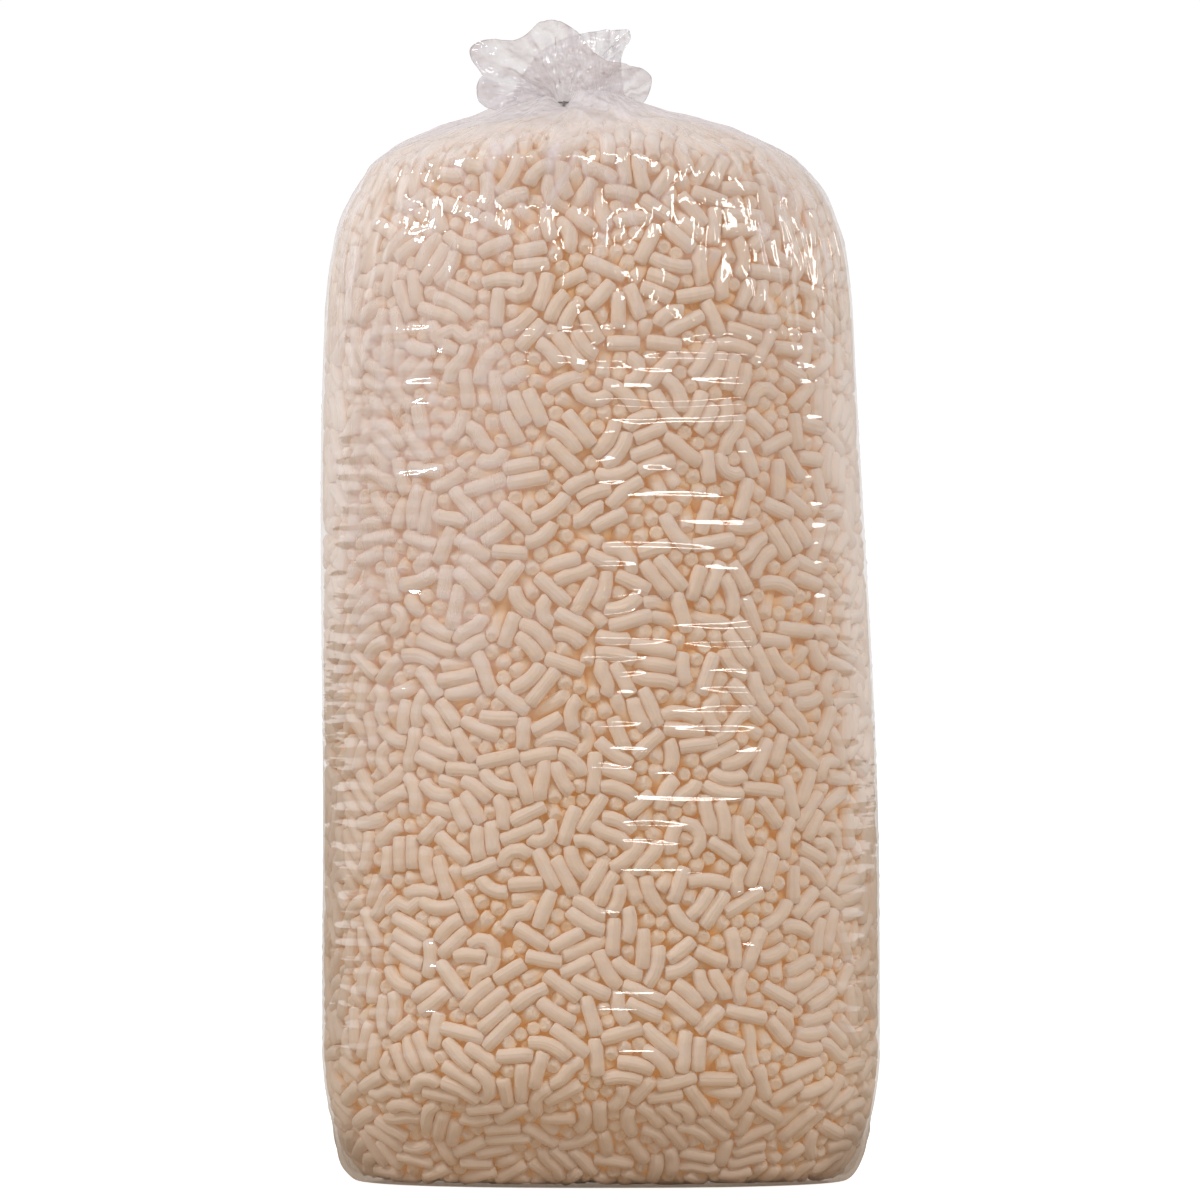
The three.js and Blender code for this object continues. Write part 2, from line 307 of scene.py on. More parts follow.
def lines_through(settled, stations):
    """A smooth line through each peanut's beads, at stations counted in beads."""
    u = np.array(stations)[:, None]
    knots = np.arange(beads)
    weight = np.ones((len(stations), beads))
    for a in knots:
        for b in knots[knots != a]:
            weight[:, a] *= ((u - b) / (a - b))[:, 0]
    return np.einsum("sb,nbi->nsi", weight, settled)


def add_node(tree, kind, inputs=None, **settings):
    """A new node with its settings. Each input is a value, or the output of another node."""
    node = tree.nodes.new(kind)
    for name, value in settings.items():
        setattr(node, name, value)
    set_inputs(tree, node, inputs or {})
    return node


def set_inputs(tree, node, inputs):
    """Sets a node's inputs, by their names or numbers, to values or to other nodes' outputs."""
    for socket, value in inputs.items():
        if isinstance(value, bpy.types.NodeSocket):
            tree.links.new(value, node.inputs[socket])
        else:
            node.inputs[socket].default_value = value


def sweep_tree(material):
    """Sweeps a ring of so many sides along every line, as wide as the line's own girth."""
    tree = bpy.data.node_groups.new("sweep_peanuts", "GeometryNodeTree")
    sockets = tree.interface.new_socket
    sockets("Geometry", in_out="INPUT", socket_type="NodeSocketGeometry")
    sockets("Sides", in_out="INPUT", socket_type="NodeSocketInt")
    sockets("Geometry", in_out="OUTPUT", socket_type="NodeSocketGeometry")
    given = add_node(tree, "NodeGroupInput")
    curves = add_node(tree, "GeometryNodeMeshToCurve", {"Mesh": given.outputs["Geometry"]})
    girth = add_node(tree, "GeometryNodeInputNamedAttribute", {"Name": "girth"})
    ring = add_node(tree, "GeometryNodeCurvePrimitiveCircle",
                    {"Resolution": given.outputs["Sides"], "Radius": 1.0})
    spot = add_node(tree, "GeometryNodeInputPosition")
    marked = add_node(tree, "GeometryNodeStoreNamedAttribute",
                      {"Geometry": ring.outputs["Curve"], "Name": "round",
                       "Value": spot.outputs["Position"]}, data_type="FLOAT_VECTOR")
    sweep = add_node(tree, "GeometryNodeCurveToMesh",
                     {"Curve": curves.outputs["Curve"], "Profile Curve": marked.outputs["Geometry"],
                      "Scale": girth.outputs["Attribute"], "Fill Caps": True})
    smooth = add_node(tree, "GeometryNodeSetShadeSmooth", {"Geometry": sweep.outputs["Mesh"]})
    real = add_node(tree, "GeometryNodeRealizeInstances", {"Geometry": smooth.outputs["Geometry"]})
    paint = add_node(tree, "GeometryNodeSetMaterial",
                     {"Geometry": real.outputs["Geometry"], "Material": material})
    add_node(tree, "NodeGroupOutput", {"Geometry": paint.outputs["Geometry"]})
    return tree


def mark(mesh, name, values):
    """Gives every vertex of a mesh a number of its own, for a material or a tree to read."""
    data = mesh.attributes.new(name, "FLOAT", "POINT").data
    data.foreach_set("value", values.astype(np.float32))


def mark_depth(mesh):
    """Marks every vertex with its depth under the film, which the foam's painted amber shade and painted
    glow go by.
    """
    points = np.empty(len(mesh.vertices) * 3, np.float32)
    mesh.vertices.foreach_get("co", points)
    depth, _ = inside.at(points.reshape(-1, 3).astype(float))
    mark(mesh, "depth", depth)


def swept(name, lines, girth, tree, sides):
    """One mesh of many peanuts, swept along their lines."""
    number, points = lines.shape[:2]
    wires = bpy.data.meshes.new(name)
    starts = np.arange(number * points).reshape(number, points)
    edges = np.stack([starts[:, :-1], starts[:, 1:]], axis=-1)
    wires.vertices.add(number * points)
    wires.vertices.foreach_set("co", lines.astype(np.float32).ravel())
    wires.edges.add(number * (points - 1))
    wires.edges.foreach_set("vertices", edges.astype(np.int32).ravel())
    lumps = np.clip(rng.normal(0.97, 0.04, (number, points)), 0.86, 1.01)
    mark(wires, "girth", (girth * lumps).ravel())
    mark(wires, "tint", np.repeat(rng.random(number), points))
    piece = bpy.data.objects.new(name, wires)
    bpy.context.scene.collection.objects.link(piece)
    sweep = piece.modifiers.new("sweep", "NODES")
    sweep.node_group = tree
    for socket in tree.interface.items_tree:
        if socket.name == "Sides":
            sweep[socket.identifier] = sides
    bpy.context.view_layer.update()
    evaluated = piece.evaluated_get(bpy.context.evaluated_depsgraph_get())
    made = bpy.data.meshes.new_from_object(evaluated)
    piece.modifiers.remove(sweep)
    piece.data = made
    mark_depth(made)
    return piece


def new_material(name):
    """A material, its node tree, and the Principled shader that it starts with."""
    material = bpy.data.materials.new(name)
    material.use_nodes = True
    return material, material.node_tree, material.node_tree.nodes["Principled BSDF"]


def foam_material():
    """Matte cream starch foam, with a painted amber shade and a painted glow that grow with depth under
    the film, for light that seeps through the foam into the gaps.
    """
    material, tree, foam_shader = new_material("starch_foam")
    material.cycles.emission_sampling = "NONE"
    tint = add_node(tree, "ShaderNodeAttribute", attribute_name="tint")
    depth = add_node(tree, "ShaderNodeAttribute", attribute_name="depth")
    round_ = add_node(tree, "ShaderNodeAttribute", attribute_name="round")
    place = add_node(tree, "ShaderNodeTexCoord")

    # Its colour: each peanut's own, mottled; and further in, a painted amber shade.
    mottle = add_node(tree, "ShaderNodeTexNoise",
                      {"Vector": place.outputs["Object"], "Scale": 260, "Detail": 3})
    blend = add_node(tree, "ShaderNodeMath",
                     {0: tint.outputs["Fac"], 1: 0.6, 2: mottle.outputs["Fac"]}, operation="MULTIPLY_ADD")
    shade = add_node(tree, "ShaderNodeMix",
                     {"Factor": blend.outputs["Value"], "A": cream, "B": pale_cream}, data_type="RGBA")
    painted_depth_share = add_node(tree, "ShaderNodeMapRange",
                      {"Value": depth.outputs["Fac"], "From Min": 0.003, "From Max": 0.020},
                      interpolation_type="SMOOTHSTEP")
    tone_and_painted_shade = add_node(tree, "ShaderNodeMix",
                    {"Factor": painted_depth_share.outputs["Result"], "A": shade.outputs["Result"], "B": painted_amber_shade},
                    data_type="RGBA")
    # Painted glow, growing with depth under the film.
    painted_glow = add_node(tree, "ShaderNodeMix",
                    {"Factor": painted_depth_share.outputs["Result"], "A": (0, 0, 0, 1), "B": painted_inner_glow},
                    data_type="RGBA")

    # Its surface: lengthwise ridges from the die, different on each peanut, and fine cells.
    own = add_node(tree, "ShaderNodeMath", {0: tint.outputs["Fac"], 1: 60}, operation="MULTIPLY")
    ridges = add_node(tree, "ShaderNodeTexNoise",
                      {"Vector": round_.outputs["Vector"], "W": own.outputs["Value"],
                       "Scale": 2.6, "Detail": 1}, noise_dimensions="4D")
    ridge_bump = add_node(tree, "ShaderNodeBump",
                          {"Height": ridges.outputs["Fac"], "Strength": 0.6, "Distance": 0.0022})
    cell_bump = add_node(tree, "ShaderNodeBump",
                         {"Height": mottle.outputs["Fac"], "Normal": ridge_bump.outputs["Normal"],
                          "Strength": 0.35, "Distance": 0.0008})
    set_inputs(tree, foam_shader, {
        "Base Color": tone_and_painted_shade.outputs["Result"], "Roughness": 0.8, "Specular IOR Level": 0.25,
        "Emission Color": painted_glow.outputs["Result"], "Emission Strength": 1.0,
        "Normal": cell_bump.outputs["Normal"]})
    return material


foam = foam_material()
inside = Inside()
settled = settle(inside, peanut_count)
depth, _ = inside.at(settled.reshape(-1, 3))
at_film = depth.reshape(-1, beads).min(axis=1) < at_film_depth

near_lines = lines_through(settled[at_film], (-0.78, -0.58, 0.5, 1.5, 2.5, 3.58, 3.78))
near_girth = np.array([cut_r, soft_r, *[peanut_r] * 3, soft_r, cut_r])
deep_lines = lines_through(settled[~at_film], (-0.74, -0.58, 1.5, 3.58, 3.74))
deep_girth = np.array([cut_r, soft_r, peanut_r, soft_r, cut_r])

single = [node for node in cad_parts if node.startswith("peanut_") and node != "peanut_load"]
tree = sweep_tree(foam)
for name, lines, girth, sides, parts in (("peanuts_outer", near_lines, near_girth, 10, 3),
                                         ("peanuts_behind", deep_lines, deep_girth, 8, 2)):
    from_foot_up = np.argsort(lines[:, 0, 2])
    for number, chosen in enumerate(np.array_split(from_foot_up, parts)):
        piece = swept(f"{name}_{number + 1}", lines[chosen], girth, tree, sides)
        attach(piece, "root")
        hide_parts("peanut_load", *single)


# ---- Heart of the load ----------------------------------------------------------------------------
# The peanuts further in, that no eye reaches. In the real bag they are loose sticks like the others,
# poured in with them. Here they are one closed lumpy solid of the same foam, 3 cm under the film.

def mesh_object(name, points, faces):
    """A new smooth object made of points and faces."""
    mesh = bpy.data.meshes.new(name)
    mesh.from_pydata(np.asarray(points).tolist(), [], [list(f) for f in faces])
    mesh.shade_smooth()
    piece = bpy.data.objects.new(name, mesh)
    bpy.context.scene.collection.objects.link(piece)
    return piece


def heart(columns=96, under=0.030, lumps=0.0012):
    """The bag's own shape drawn in under the film, and closed at its foot and its top."""
    outline = bag_outline(4, 10, 60, 16, 14)
    points = bag_points(outline, round_angles(columns))
    flat = points.reshape(-1, 3)
    depth, inward = inside.at(flat)
    flat = flat + (under - depth)[:, None] * inward
    points = flat.reshape(points.shape)[outline[:, 0] > 0.06]
    points += rng.normal(scale=lumps, size=points.shape)
    rows = len(points)
    foot_pole = rows * columns
    top_pole = foot_pole + 1
    last = foot_pole - columns
    faces = grid_faces(rows, columns).tolist()
    faces += [[c, foot_pole, (c + 1) % columns] for c in range(columns)]
    faces += [[last + c, last + (c + 1) % columns, top_pole] for c in range(columns)]
    ends = [points[0].mean(axis=0), points[-1].mean(axis=0)]
    return mesh_object("peanut_heart", np.vstack([points.reshape(-1, 3), *ends]), faces)


core = heart()
core.data.materials.append(foam)
mark_depth(core.data)
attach(core, "root")
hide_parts("peanut_load")


# ---- Film bag: its folds and mesh -------------------------------------------------------------------
# Thin clear polythene. The load keeps it nearly taut, so its walls carry only shallow level creases,
# with short slanting ones down both edges. It is pleated over the shoulders into the neck, and the
# length above the tie is a loose crumpled topknot, open at its rim.

body_columns, top_columns = 160, 320
wall_rows, shoulder_rows, dome_rows, knot_rows = 262, 46, 52, 50
crown_rows = shoulder_rows + dome_rows
outline = bag_outline(6, 24, wall_rows, shoulder_rows, dome_rows)
body_line, crown_line = outline[:-crown_rows], outline[-crown_rows:]
slack = 0.0005  # how far the film stands out from the bag's smooth shape
# Painted shade: the rim's cut edge gets a darker grey, where film seen edge on looks dark.
rim_shade_mark = 1.5  # marks the rim's cut edge, where everything else is 1 at most
milk_white = (0.80, 0.75, 0.82, 1)
# Painted shade: the darker grey of the rim's cut edge.
painted_rim_grey = (0.50, 0.48, 0.51, 1)
# Painted glow: the milk's faint light of its own, for light scattered within the film's layers.
painted_milk_glow = (0.90, 0.87, 0.97, 1)
one_layer = (0.985, 0.975, 0.965, 1)
# Partly layers of folded film, partly painted shade: the brown of film at the foot and the ears in the
# load's shadow.
folded_layers_and_shade = (0.58, 0.52, 0.46, 1)


def outward(points):
    """The direction square to a grid of points, away from the bag."""
    round_ = np.roll(points, -1, axis=1) - np.roll(points, 1, axis=1)
    up = np.gradient(points, axis=0)
    normal = np.cross(round_, up)
    return normal / np.maximum(np.linalg.norm(normal, axis=2, keepdims=True), 1e-9)


def lengths_up(line):
    """The length of film from the start of a line to each of its points."""
    return np.concatenate([[0], np.cumsum(np.linalg.norm(np.diff(line, axis=0), axis=1))])


def crease(sheet, veil, across, along, place, slant, half, wide, deep, bow=0):
    """One pucker pressed into a sheet of heights: a lens of ripples that dies out at both ends."""
    girth = across[-1] + across[1] - across[0]
    level = (across - place[0] + girth / 2) % girth - girth / 2
    upright = along - place[1]
    reach = half + 2.5 * wide
    columns = np.where(np.abs(level) < reach)[0]
    rows = np.where(np.abs(upright) < reach)[0]
    if not len(rows) or not len(columns):
        return
    level, upright = level[columns][None], upright[rows][:, None]
    run = level * math.cos(slant) + upright * math.sin(slant)
    off = upright * math.cos(slant) - level * math.sin(slant)
    fade = np.clip(1 - (run / half) ** 2, 0, 1)
    off = (off - bow * fade) / (wide * (0.55 + 0.45 * fade))
    ripple = np.cos(2 * np.pi * off) * np.exp(-1.6 * off**2)
    sheet[np.ix_(rows, columns)] += deep * fade * ripple
    veil[np.ix_(rows, columns)] += fade * np.exp(-(2 * off) ** 2)


def wall_creases(line, points):
    """Level creases all over the walls, slanting ones at both edges, and gathers at the foot."""
    sheet, veil = np.zeros((2, *points.shape[:2]))
    belly = points[len(line) // 2]
    steps = np.linalg.norm(np.roll(belly, -1, axis=0) - belly, axis=1)
    across = np.concatenate([[0], np.cumsum(steps)[:-1]])
    girth = steps.sum()
    along = lengths_up(line) - foot_r
    top = along[-1]
    between_levels, between_creases = 0.023, 0.13
    for level in np.arange(0.05, top, between_levels):
        for start in np.arange(rng.uniform(0, between_creases), girth, between_creases):
            place = start + rng.normal(0, 0.02), level + rng.normal(0, 0.004)
            half = rng.uniform(0.040, 0.105)
            crease(sheet, veil, across, along, place, slant=rng.normal(0, 0.05), half=half,
                   wide=rng.uniform(0.018, 0.024), deep=rng.uniform(0.0010, 0.0018),
                   bow=rng.normal(0, 0.004))
    flat_side = np.abs(np.sin(round_angles(points.shape[1])))
    sheet *= ease(0.22, 0.85, flat_side)
    for _ in range(220):
        side = rng.choice([-1, 1])
        place = girth * (0.5 - 0.25 * side) + rng.normal(0, 0.035), rng.uniform(0.05, top - 0.05)
        crease(sheet, veil, across, along, place, slant=side * rng.uniform(0.6, 1.1),
               half=rng.uniform(0.008, 0.022), wide=rng.uniform(0.008, 0.011),
               deep=rng.uniform(0.0003, 0.0008))
    for _ in range(60):
        place = rng.uniform(0, girth), rng.uniform(0.0, 0.07)
        crease(sheet, veil, across, along, place, slant=math.pi / 2 + rng.normal(0, 0.3),
               half=rng.uniform(0.02, 0.05), wide=rng.uniform(0.012, 0.022),
               deep=rng.uniform(0.0005, 0.0013))
    return sheet * ease(0.0, 0.02, along)[:, None], veil


def crumple(points, number, coarse, fine):
    """Creases in every direction, as in film that a hand has crushed: 0 to about 1."""
    total, most = np.zeros(points.shape[:-1]), 0
    for _ in range(number):
        way = rng.normal(size=3)
        wave = rng.uniform(fine, coarse)
        strength = wave / coarse
        total += strength * np.abs(np.sin(np.pi * (points @ (way / np.linalg.norm(way))) / wave
                                          + rng.uniform(0, np.pi)))
        most += strength
    return total / most


def crown_folds(line, points, angles):
    """Pleats that run up the shoulders and close in on the neck, and short creases between them."""
    radius, height = line[:, :1], line[:, 1:]
    sheet, veil = np.zeros((2, *points.shape[:2]))
    for _ in range(100):
        angle = rng.uniform(0, 2 * np.pi) + 0.15 * np.sin(radius * rng.uniform(5, 12))
        reach = rng.uniform(0.06, 0.29)
        wide = rng.uniform(0.0030, 0.0085)
        off = np.abs((angles[None] - angle + np.pi) % (2 * np.pi) - np.pi) * radius
        strength = ease(reach, reach * 0.55, radius)
        fold = strength * np.exp(-(np.sqrt(off**2 + 0.0015**2) - 0.0015) / wide)
        sheet += rng.uniform(0.0005, 0.0030) * fold
        veil += rng.uniform(0.1, 0.6) * strength * np.exp(-off / (2 * wide))
    loose = ease(shoulder_z - 0.03, dome_z, height)
    far = ease(0.03, 0.14, radius)
    sheet += loose * (0.3 + 0.7 * far) * 0.013 * (crumple(points, 22, 0.080, 0.024) - 0.62)
    mean_r = 0.26
    across, along = angles * mean_r, lengths_up(line)
    for _ in range(260):
        place = rng.uniform(0, across[-1]), rng.uniform(-0.01, 0.20)
        crease(sheet, veil, across, along, place, slant=math.pi / 2 + rng.normal(0, 0.5),
               half=rng.uniform(0.010, 0.045), wide=rng.uniform(0.008, 0.013),
               deep=rng.uniform(0.0002, 0.0008), bow=rng.normal(0, 0.002))
    deepest_dent, neck_ruff = -0.0035, 0.005
    sheet = np.clip(sheet, deepest_dent, None) + neck_ruff * ease(0.10, 0.04, radius)
    from_front = (angles[None] + 1.5 * np.pi) % (2 * np.pi) - np.pi
    parted_at_tie = np.exp(-(from_front / 0.28) ** 2) * ease(0.12, 0.05, radius)
    return sheet * (1 - parted_at_tie) * ease(neck_r, 0.035, radius), veil


# The topknot's rim, as the film was left by the hand: across, back and up from the neck.
rim = np.array([
    (0.0875, -0.018, 0.026), (0.078, -0.006, -0.002), (0.062, 0.012, 0.010), (0.057, 0.022, 0.043),
    (0.067, 0.030, 0.068), (0.058, 0.032, 0.076), (0.016, 0.032, 0.072), (-0.024, 0.028, 0.054),
    (-0.050, 0.014, 0.016), (-0.053, -0.014, -0.007), (-0.080, -0.022, -0.005), (-0.088, -0.018, 0.012),
    (-0.081, -0.008, 0.026), (-0.094, -0.002, 0.047), (-0.086, -0.006, 0.060), (-0.044, -0.020, 0.064),
    (-0.024, -0.026, 0.080), (-0.007, -0.028, 0.081), (0.012, -0.028, 0.070), (0.034, -0.030, 0.046),
    (0.060, -0.026, 0.042)])


def ring_through(points, share):
    """A smooth closed line through points, at shares of the way round."""
    at = share * len(points)
    start = np.floor(at).astype(int)
    t = (at - start)[:, None]
    a, b, c, d = (points[(start + step) % len(points)] for step in (-1, 0, 1, 2))
    line = 2 * b + (c - a) * t
    line = line + (2 * a - 5 * b + 4 * c - d) * t**2
    line = line + (3 * b - a - 3 * c + d) * t**3
    return 0.5 * line


def topknot(angles):
    """The film above the tie: it opens from the neck into loose ruffled lobes."""
    share = (angles / (2 * np.pi) + 0.09) % 1
    rim_line = ring_through(rim, share)
    t = np.linspace(0, 1, knot_rows + 1)[1:, None, None]
    start = np.stack([neck_r * np.cos(angles), neck_r * np.sin(angles), 0.004 + 0 * angles], axis=-1)
    rise = np.array([0, 0, 1.0])
    reach = np.linalg.norm(rim_line[:, :2], axis=1)[:, None]
    high = ease(-0.01, 0.06, rim_line[:, 2:])
    arch = (0.002 + 0.10 * np.maximum(0.045 - rim_line[:, 2:], 0)) * rise
    early = start * (1.6, 1.6, 1) + (-0.002 + 0.020 * high) * rise
    late = start + 0.62 * (rim_line - start) * (1.05, 1.05, 1) + arch + 0.05 * reach * rise
    points = (1 - t) ** 3 * start + 3 * (1 - t) ** 2 * t * early
    points = points + 3 * (1 - t) * t**2 * late + t**3 * rim_line
    t = t[..., 0]
    ruffle = np.zeros(points.shape[:2])
    for count, deep in ((7, 0.0028), (11, 0.0016), (18, 0.0007)):
        turn = count * angles + rng.uniform(0, 6.28) + 1.6 * np.sin(2 * angles + rng.uniform(0, 6.28))
        ruffle += deep * ease(0, 0.8, t) * np.sin(turn + 1.5 * t)
    for _ in range(44):
        middle, wide = rng.uniform(0, 2 * np.pi), rng.uniform(0.03, 0.08)
        off = np.abs((angles[None] - middle + 0.1 * np.sin(3 * t) + np.pi) % (2 * np.pi) - np.pi)
        ruffle += rng.uniform(0.0004, 0.0014) * np.minimum(1, 3 * t) * np.exp(-off / wide)
    points = points + outward(points) * ruffle[..., None]
    crushed = 0.021 * ease(0, 0.35, t) * (crumple(points, 28, 0.042, 0.010) - 0.6)
    crushed += 0.008 * ease(0.1, 0.5, t) * (crumple(points, 90, 0.020, 0.005) - 0.6)
    return points + outward(points) * crushed[..., None] + (lean(np.array(neck_z)), 0, neck_z)


def painted_left_sheen(line, angles):
    """Painted sheen: milkier, brighter film on the left, up to the shoulder, that lifts that side as a
    soft light from the left would.
    """
    height, side = line[:, 1:], np.cos(angles)
    up = ease(0.25, 0.70, height) * ease(dome_z, shoulder_z, height)
    return 0.36 * up * ease(-0.1, -0.6, side) * ease(-1.0, -0.85, side)


def film_walls():
    """The foot and the walls: their points, how milky each is, and where the film gets a painted brown
    shade, low along its foot and at the folded ears.
    """
    angles = round_angles(body_columns)
    points = bag_points(body_line, angles)
    creases, veil = wall_creases(body_line, points)
    points += outward(points) * (slack + creases)[..., None]
    ear = 0.010 * np.cos(angles) ** 40 * np.sign(np.cos(angles))
    low = np.clip(1 - body_line[:, 1] / 0.06, 0, 1) * (body_line[:, 0] > foot_r - 0.03)
    points[..., 0] += low[:, None] * ear[None]
    points[..., 2] = np.maximum(points[..., 2], 0)
    gather = 0.05 * np.minimum(veil, 1.5) + 0.19 * ease(0.3, shoulder_z, body_line[:, 1:])
    # Painted sheen on the left.
    gather += painted_left_sheen(body_line, angles)
    height = points[..., 2]
    sides = ease(0.90, 0.99, np.abs(np.cos(angles)))
    # Painted shade: the bottom 8 mm all round, and the folded ears low on both sides, are darkened.
    folded_and_shaded = np.maximum(ease(0.008, 0.003, height), ease(0.100, 0.025, height) * sides)
    return points[1:], gather[1:], folded_and_shaded[1:]


def film_crown():
    """The film from the shoulders up to the tie: its points, and how milky each is."""
    angles = round_angles(top_columns)
    points = bag_points(crown_line, angles)
    pleats, streaks = crown_folds(crown_line, points, angles)
    points += outward(points) * (slack + pleats)[..., None]
    gather = 0.14 + 0.44 * ease(shoulder_z + 0.01, dome_z, crown_line[:, 1:])
    gather = gather * np.clip(0.45 + 0.80 * streaks, 0, 1.7)
    # Milkier gathered film near the neck, and a painted sheen on the left.
    gather += 0.60 * ease(0.23, 0.05, crown_line[:, :1]) + painted_left_sheen(crown_line, angles)
    return points, np.clip(gather, 0, 1)


def film_mesh():
    """The whole bag as one skin: foot, walls, crown and topknot, open at the rim."""
    walls, wall_gather, folded_and_shaded = film_walls()
    crown, crown_gather = film_crown()
    knot = topknot(round_angles(top_columns))
    knot_gather = np.ones(knot.shape[:2])
    # The rim's last row is marked for its painted grey shade.
    knot_gather[-1] = rim_shade_mark
    foot_middle = np.zeros((1, 3))
    points = np.vstack([part.reshape(-1, 3) for part in (walls, crown, knot, foot_middle)])
    parts = wall_gather, crown_gather, knot_gather, np.zeros(1)
    gather = np.concatenate([part.ravel() for part in parts])
    crown_start, pole = folded_and_shaded.size, len(points) - 1
    # The foot's painted shade: the walls' marks, and the middle of the foot fully shaded.
    foot = np.zeros(len(points))
    foot[:crown_start] = folded_and_shaded.ravel()
    foot[pole] = 1

    # The crown has two columns for each one of the walls, so a row of triangles joins them.
    faces = grid_faces(len(walls), body_columns).tolist()
    faces += grid_faces(crown_rows + knot_rows, top_columns, crown_start).tolist()
    wall_top = crown_start - body_columns
    for c in range(body_columns):
        after = (c + 1) % body_columns
        a, b = wall_top + c, wall_top + after
        p, q, s = (crown_start + (2 * c + step) % top_columns for step in range(3))
        faces += [[a, q, p], [a, b, q], [b, s, q], [pole, after, c]]
    piece = mesh_object("film", points, faces)
    mark(piece.data, "gather", gather)
    mark(piece.data, "foot", foot)
    return piece


def film_bumps(tree, place, gather):
    """Pleats over the shoulders, crushing in the topknot, and a slight level ripple all over."""
    crush = add_node(tree, "ShaderNodeTexNoise",
                     {"Vector": place.outputs["Object"], "Scale": 95, "Detail": 1})
    crushed = add_node(tree, "ShaderNodeMapRange",
                       {"Value": gather.outputs["Fac"], "From Min": 0.85, "To Max": 0.8})
    crush_bump = add_node(tree, "ShaderNodeBump",
                          {"Height": crush.outputs["Fac"], "Strength": crushed.outputs["Result"],
                           "Distance": 0.006})

    # The pleats' noise is read by direction from the bag's axis, so that it runs up to the neck.
    level = add_node(tree, "ShaderNodeVectorMath", {0: place.outputs["Object"], 1: (1, 1, 0)},
                     operation="MULTIPLY")
    direction = add_node(tree, "ShaderNodeVectorMath", {0: level.outputs["Vector"]},
                         operation="NORMALIZE")
    round_ = add_node(tree, "ShaderNodeVectorMath", {0: direction.outputs["Vector"], "Scale": 8},
                      operation="SCALE")
    spot = add_node(tree, "ShaderNodeVectorMath",
                    {0: place.outputs["Object"], 1: (13, 13, 13), 2: round_.outputs["Vector"]},
                    operation="MULTIPLY_ADD")
    pleat = add_node(tree, "ShaderNodeTexNoise",
                     {"Vector": spot.outputs["Vector"], "Scale": 1.0, "Detail": 1.5, "Distortion": 0.5})
    split = add_node(tree, "ShaderNodeSeparateXYZ", {"Vector": place.outputs["Object"]})
    above_wall = add_node(tree, "ShaderNodeMapRange",
                          {"Value": split.outputs["Z"], "From Min": shoulder_z - 0.07,
                           "From Max": shoulder_z + 0.03, "To Max": 0.9})
    below_knot = add_node(tree, "ShaderNodeMath", {0: 1.1, 1: gather.outputs["Fac"]},
                          operation="SUBTRACT")
    pleated = add_node(tree, "ShaderNodeMath",
                       {0: above_wall.outputs["Result"], 1: below_knot.outputs["Value"]},
                       operation="MULTIPLY", use_clamp=True)
    pleat_bump = add_node(tree, "ShaderNodeBump",
                          {"Height": pleat.outputs["Fac"], "Normal": crush_bump.outputs["Normal"],
                           "Strength": pleated.outputs["Value"], "Distance": 0.021})

    stretch = add_node(tree, "ShaderNodeMapping",
                       {"Vector": place.outputs["Object"], "Scale": (9, 9, 110)})
    ripple = add_node(tree, "ShaderNodeTexNoise",
                      {"Vector": stretch.outputs["Vector"], "Scale": 1.0, "Detail": 2})
    bump = add_node(tree, "ShaderNodeBump",
                    {"Height": ripple.outputs["Fac"], "Normal": pleat_bump.outputs["Normal"],
                     "Strength": 0.3, "Distance": 0.0008})
    return pleat, bump.outputs["Normal"]


def film_milk(tree, front, gather, normal):
    """The white of many layers, lit from both sides, with a painted glow, and a painted grey shade along
    the rim's cut edge.
    """
    rim_shade = add_node(tree, "ShaderNodeMapRange",
                   {"Value": gather.outputs["Fac"], "From Min": 1.05, "From Max": 1.45})
    milky = add_node(tree, "ShaderNodeMix",
                     {"Factor": rim_shade.outputs["Result"], "A": milk_white, "B": painted_rim_grey},
                     data_type="RGBA")
    # Painted glow: the milk gives off a faint light of its own.
    set_inputs(tree, front, {
        "Base Color": milky.outputs["Result"], "Roughness": 0.5, "Normal": normal,
        "Emission Color": painted_milk_glow, "Emission Strength": 0.31})
    behind = add_node(tree, "ShaderNodeBsdfTranslucent", {"Color": milky.outputs["Result"]})
    return add_node(tree, "ShaderNodeMixShader",
                    {"Fac": 0.4, 1: front.outputs["BSDF"], 2: behind.outputs["BSDF"]})


def film_haze(tree, pleat, gather, normal):
    """How much milk shows: more where the film is gathered, streaked by its pleats, and edge on."""
    streak = add_node(tree, "ShaderNodeMapRange",
                      {"Value": pleat.outputs["Fac"], "From Min": 0.35, "From Max": 0.65,
                       "To Min": 0.6, "To Max": 1.35})
    streaked = add_node(tree, "ShaderNodeMath",
                        {0: gather.outputs["Fac"], 1: streak.outputs["Result"]}, operation="MULTIPLY")
    edge = add_node(tree, "ShaderNodeLayerWeight", {"Blend": 0.3, "Normal": normal})
    edge_haze = add_node(tree, "ShaderNodeMath", {0: edge.outputs["Facing"], 1: 0.12, 2: 0.01},
                         operation="MULTIPLY_ADD")
    haze = add_node(tree, "ShaderNodeMath",
                    {0: streaked.outputs["Value"], 1: 0.62, 2: edge_haze.outputs["Value"]},
                    operation="MULTIPLY_ADD")
    return haze.outputs["Value"]


